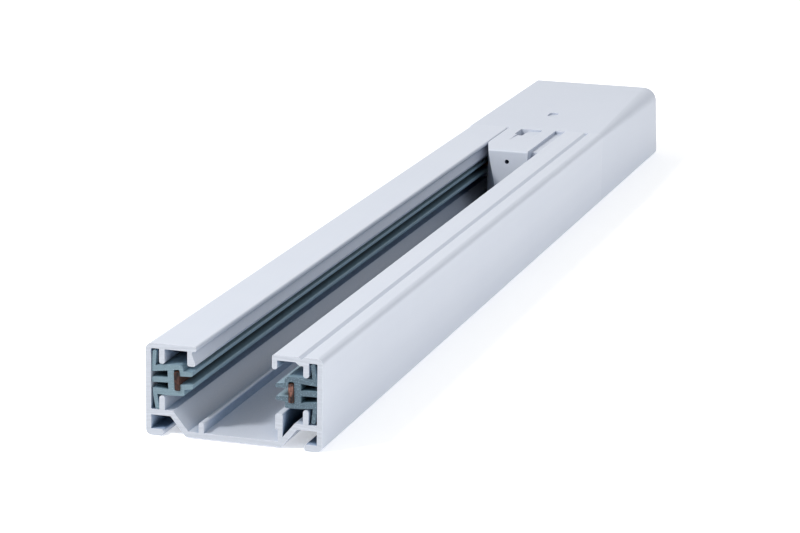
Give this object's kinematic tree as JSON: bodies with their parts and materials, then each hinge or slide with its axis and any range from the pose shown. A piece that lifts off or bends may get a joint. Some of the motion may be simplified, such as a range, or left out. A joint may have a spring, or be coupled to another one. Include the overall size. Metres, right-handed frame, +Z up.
{
  "type": "lighting track rail",
  "caption": "Short surface-mounted lighting track: white aluminium rail with grey insulators, copper conductors and a live-end feed.",
  "frame": {"origin": "midway along the track and across it, on the plane of the feet", "axes": "+X across the rail, +Y along it from the open end to the feed, +Z up out of the slot"},
  "size_m": [0.035, 0.293, 0.018],
  "materials": {
    "white_powder_coat": "white powder coat over aluminium",
    "grey_pvc": "matte",
    "copper_bar": "dull drawn",
    "white_moulding": "satin",
    "contact_brass": "satin",
    "zinc_steel": "zinc plated"
  },
  "bodies": {
    "root": {"rail_extrusion": "white_powder_coat", "insulator_left": "grey_pvc", "insulator_right": "grey_pvc", "conductor_left": "copper_bar", "conductor_right": "copper_bar", "feed_housing": "white_moulding", "feed_cover": "white_moulding", "contact_left": "contact_brass", "contact_right": "contact_brass", "contact_earth": "contact_brass", "terminal_left": "contact_brass", "terminal_right": "contact_brass", "terminal_earth": "contact_brass", "clamp_screw_left": "zinc_steel", "clamp_screw_right": "zinc_steel", "clamp_screw_earth": "zinc_steel", "cover_screw_front": "zinc_steel", "cover_screw_rear": "zinc_steel"}
  },
  "joints": []
}
